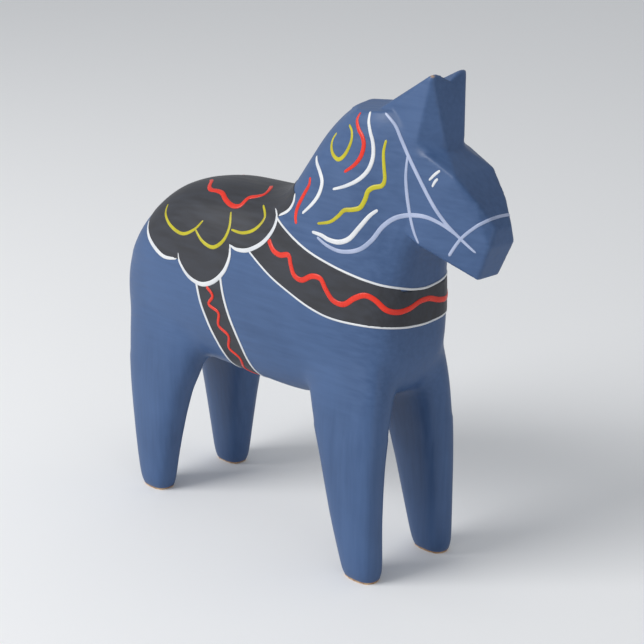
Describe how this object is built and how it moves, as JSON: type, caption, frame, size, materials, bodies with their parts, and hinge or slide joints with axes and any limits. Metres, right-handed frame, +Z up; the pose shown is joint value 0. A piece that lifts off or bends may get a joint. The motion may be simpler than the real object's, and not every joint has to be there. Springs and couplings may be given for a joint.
{
  "type": "dala horse",
  "caption": "Small carved wooden horse standing on four legs, painted blue with a dark saddle, breast collar and girth and bright brush strokes.",
  "frame": {"origin": "centre of the bounding box on the ground, under the belly", "axes": "+X forwards to the muzzle, +Y to the horse's left, +Z up"},
  "size_m": [0.1288, 0.036, 0.13],
  "materials": {
    "blue_enamel": "pine under satin blue enamel, brushed on",
    "charcoal_enamel": "satin enamel, brushed on",
    "white_enamel": "gloss enamel brush stroke",
    "yellow_enamel": "gloss enamel brush stroke",
    "red_enamel": "gloss enamel brush stroke",
    "grey_enamel": "thin pale enamel brush stroke"
  },
  "bodies": {
    "root": {"carved_body": "blue_enamel", "saddle_cloth": "charcoal_enamel", "breast_collar": "charcoal_enamel", "girth_strap": "charcoal_enamel", "saddle_edge_rear": "white_enamel", "saddle_edge_middle": "white_enamel", "saddle_edge_front": "white_enamel", "saddle_edge_withers": "white_enamel", "saddle_garland_rear": "yellow_enamel", "saddle_garland_middle": "yellow_enamel", "saddle_garland_front": "yellow_enamel", "saddle_wave": "red_enamel", "collar_edge_upper": "white_enamel", "collar_edge_lower": "white_enamel", "collar_wave": "red_enamel", "girth_edge_rear": "white_enamel", "girth_edge_front": "white_enamel", "girth_wave": "red_enamel", "mane_loop": "yellow_enamel", "mane_crest_stroke": "red_enamel", "mane_long_stroke": "white_enamel", "mane_curl": "yellow_enamel", "mane_rear_stroke": "white_enamel", "mane_withers_stroke": "red_enamel", "mane_low_stroke": "white_enamel", "cheek_strap": "grey_enamel", "rein": "grey_enamel", "throat_lash": "grey_enamel", "noseband": "grey_enamel", "eye_upper_dash": "white_enamel", "eye_lower_dash": "white_enamel"}
  },
  "joints": []
}
